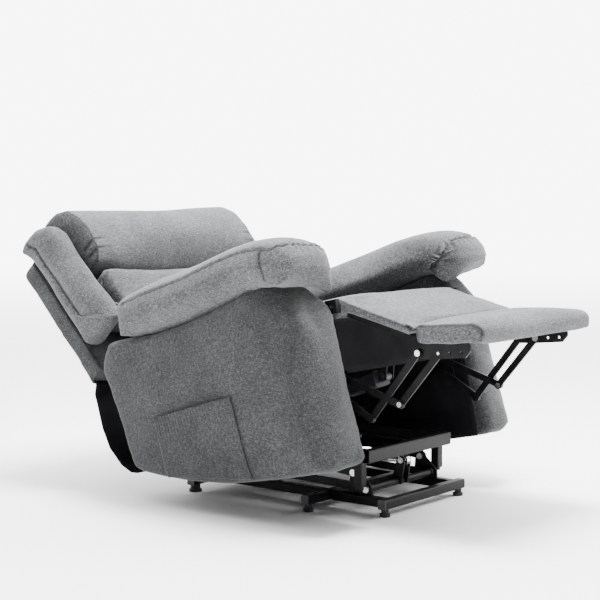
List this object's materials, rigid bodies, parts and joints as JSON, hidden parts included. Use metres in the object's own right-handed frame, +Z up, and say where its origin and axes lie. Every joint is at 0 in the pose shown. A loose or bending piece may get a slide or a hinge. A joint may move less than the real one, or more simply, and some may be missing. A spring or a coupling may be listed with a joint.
{
  "type": "lift recliner chair",
  "caption": "Fabric lift recliner chair with padded arms, side pocket, tilting seat body, reclining back, folding footrest and a steel frame that raises and tips it forward.",
  "frame": {"origin": "on the floor at the middle of the chair's outline in plan", "axes": "+X to the sitter's left, the sitter looks towards -Y, +Z up"},
  "size_m": [0.95, 1.4931, 0.7995],
  "materials": {
    "painted_steel": "satin black powder coat",
    "bright_steel": "zinc plated",
    "rod_steel": "polished",
    "black_plastic": "matte",
    "foot_rubber": "matte",
    "frame_wood": "black stained",
    "light_fabric": "mottled chenille weave",
    "side_fabric": "mottled chenille weave",
    "black_cloth": "plain woven lining"
  },
  "bodies": {
    "floor_frame": {"floor_cross_bars": "painted_steel", "floor_side_rails": "painted_steel", "floor_feet": "foot_rubber", "tube_end_caps": "black_plastic", "lift_stanchions": "painted_steel", "floor_frame_pivot_bolts": "bright_steel", "lift_motor_bracket": "painted_steel"},
    "lift_arms": {"lower_lift_links": "painted_steel", "lift_cross_tube": "painted_steel", "lift_crank_plates": "painted_steel", "lift_crank_pin": "bright_steel"},
    "upper_links": {"upper_lift_links": "painted_steel"},
    "lift_frame": {"lift_frame_cross_tubes": "painted_steel", "lift_frame_side_tubes": "painted_steel", "lift_frame_posts": "painted_steel", "lift_frame_rear_plates": "painted_steel", "lift_frame_brackets": "painted_steel", "lift_frame_pivot_bolts": "bright_steel"},
    "lift_motor": {"lift_motor_housing": "black_plastic", "lift_actuator_tube": "painted_steel"},
    "lift_rod": {"lift_actuator_rod": "rod_steel"},
    "chair_body": {"seat_side_plates": "painted_steel", "seat_cross_tubes": "painted_steel", "seat_frame_brackets": "painted_steel", "seat_frame_pivot_bolts": "bright_steel", "seat_wood_rails": "frame_wood", "seat_deck": "frame_wood", "control_box": "black_plastic", "power_supply": "black_plastic", "right_arm_panel": "side_fabric", "left_arm_panel": "side_fabric", "right_arm_pad": "light_fabric", "left_arm_pad": "light_fabric", "side_pocket": "side_fabric", "seat_cushion": "light_fabric", "rear_dust_cover": "black_cloth"},
    "backrest": {"back_shell": "side_fabric", "back_brackets": "painted_steel", "lower_back_cushion": "light_fabric", "lumbar_cushion": "light_fabric", "head_roll": "light_fabric", "right_wing": "light_fabric", "left_wing": "light_fabric"},
    "recline_motor": {"recline_motor_housing": "black_plastic", "recline_actuator_tube": "painted_steel"},
    "recline_rod": {"recline_actuator_rod": "rod_steel"},
    "calf_panel": {"calf_pad": "light_fabric", "calf_board": "frame_wood", "calf_hinge_ears": "painted_steel", "footrest_hinge_rods": "bright_steel"},
    "footrest_panel": {"footrest_pad": "light_fabric", "footrest_board": "frame_wood", "footrest_brackets": "painted_steel", "footrest_link_pins": "bright_steel"},
    "drive_links": {"footrest_drive_links": "painted_steel", "footrest_drive_shaft": "painted_steel"},
    "rear_links": {"footrest_rear_links": "painted_steel"},
    "swing_links": {"footrest_swing_links": "painted_steel", "swing_link_rivets": "bright_steel"},
    "front_links": {"footrest_front_links": "painted_steel"}
  },
  "joints": [
    {"name": "lift", "type": "hinge", "parent": "floor_frame", "child": "lift_arms", "pos_m": [0, -0.323, 0.06], "axis": [1, 0, 0], "range_deg": [0, 60]},
    {"name": "upper_link_swing", "type": "hinge", "parent": "floor_frame", "child": "upper_links", "pos_m": [0, -0.285, 0.101], "axis": [1, 0, 0], "range_deg": [0, 56.6]},
    {"name": "lift_frame_pitch", "type": "hinge", "parent": "lift_arms", "child": "lift_frame", "pos_m": [0, 0.063, 0.066], "axis": [1, 0, 0], "range_deg": [-35, 0]},
    {"name": "lift_motor_swing", "type": "hinge", "parent": "floor_frame", "child": "lift_motor", "pos_m": [0, 0.188, 0.075], "axis": [1, 0, 0], "range_deg": [0, 4.2]},
    {"name": "lift_rod_travel", "type": "slide", "parent": "lift_motor", "child": "lift_rod", "axis": [0, -0.9965, 0.0832], "range_m": [0, 0.0465]},
    {"name": "recline", "type": "hinge", "parent": "lift_frame", "child": "chair_body", "pos_m": [0, -0.02285, 0.12494], "axis": [1, 0, 0], "range_deg": [0, 12]},
    {"name": "back_swing", "type": "hinge", "parent": "chair_body", "child": "backrest", "pos_m": [0, 0.303, 0.4], "axis": [1, 0, 0], "range_deg": [0, 20.1]},
    {"name": "recline_motor_swing", "type": "hinge", "parent": "chair_body", "child": "recline_motor", "pos_m": [0, -0.27324, 0.34174], "axis": [1, 0, 0], "range_deg": [-3.3, 0]},
    {"name": "recline_rod_travel", "type": "slide", "parent": "recline_motor", "child": "recline_rod", "axis": [0, 0.9402, -0.3406], "range_m": [0, 0.0235]},
    {"name": "footrest", "type": "hinge", "parent": "chair_body", "child": "calf_panel", "pos_m": [0, -0.30739, 0.55142], "axis": [1, 0, 0], "range_deg": [0, 53]},
    {"name": "footrest_board_swing", "type": "hinge", "parent": "calf_panel", "child": "footrest_panel", "pos_m": [0, -0.54695, 0.49601], "axis": [1, 0, 0], "range_deg": [0, 23.6]},
    {"name": "drive_link_swing", "type": "hinge", "parent": "chair_body", "child": "drive_links", "pos_m": [0, -0.1923, 0.38587], "axis": [1, 0, 0], "range_deg": [0, 56.9]},
    {"name": "rear_link_swing", "type": "hinge", "parent": "drive_links", "child": "rear_links", "pos_m": [0, -0.40699, 0.26803], "axis": [1, 0, 0], "range_deg": [-55.1, 0]},
    {"name": "swing_link_swing", "type": "hinge", "parent": "chair_body", "child": "swing_links", "pos_m": [0, -0.22164, 0.39211], "axis": [1, 0, 0], "range_deg": [0, 64.5]},
    {"name": "front_link_swing", "type": "hinge", "parent": "swing_links", "child": "front_links", "pos_m": [0, -0.48802, 0.31102], "axis": [1, 0, 0], "range_deg": [-67.7, 0]}
  ],
  "couplings": [
    {"joint": "upper_link_swing", "follows": "lift", "ratio": 0.942},
    {"joint": "lift_frame_pitch", "follows": "lift", "ratio": -0.5806},
    {"joint": "lift_motor_swing", "follows": "lift", "ratio": 0.0679},
    {"joint": "lift_rod_travel", "follows": "lift", "m_per_rad": 0.04432},
    {"joint": "back_swing", "follows": "recline", "ratio": 1.6667},
    {"joint": "recline_motor_swing", "follows": "recline", "ratio": -0.2698},
    {"joint": "recline_rod_travel", "follows": "recline", "m_per_rad": 0.10986},
    {"joint": "footrest_board_swing", "follows": "footrest", "ratio": 0.4434},
    {"joint": "drive_link_swing", "follows": "footrest", "ratio": 1.072},
    {"joint": "rear_link_swing", "follows": "footrest", "ratio": -1.037},
    {"joint": "swing_link_swing", "follows": "footrest", "ratio": 1.215},
    {"joint": "front_link_swing", "follows": "footrest", "ratio": -1.275}
  ]
}
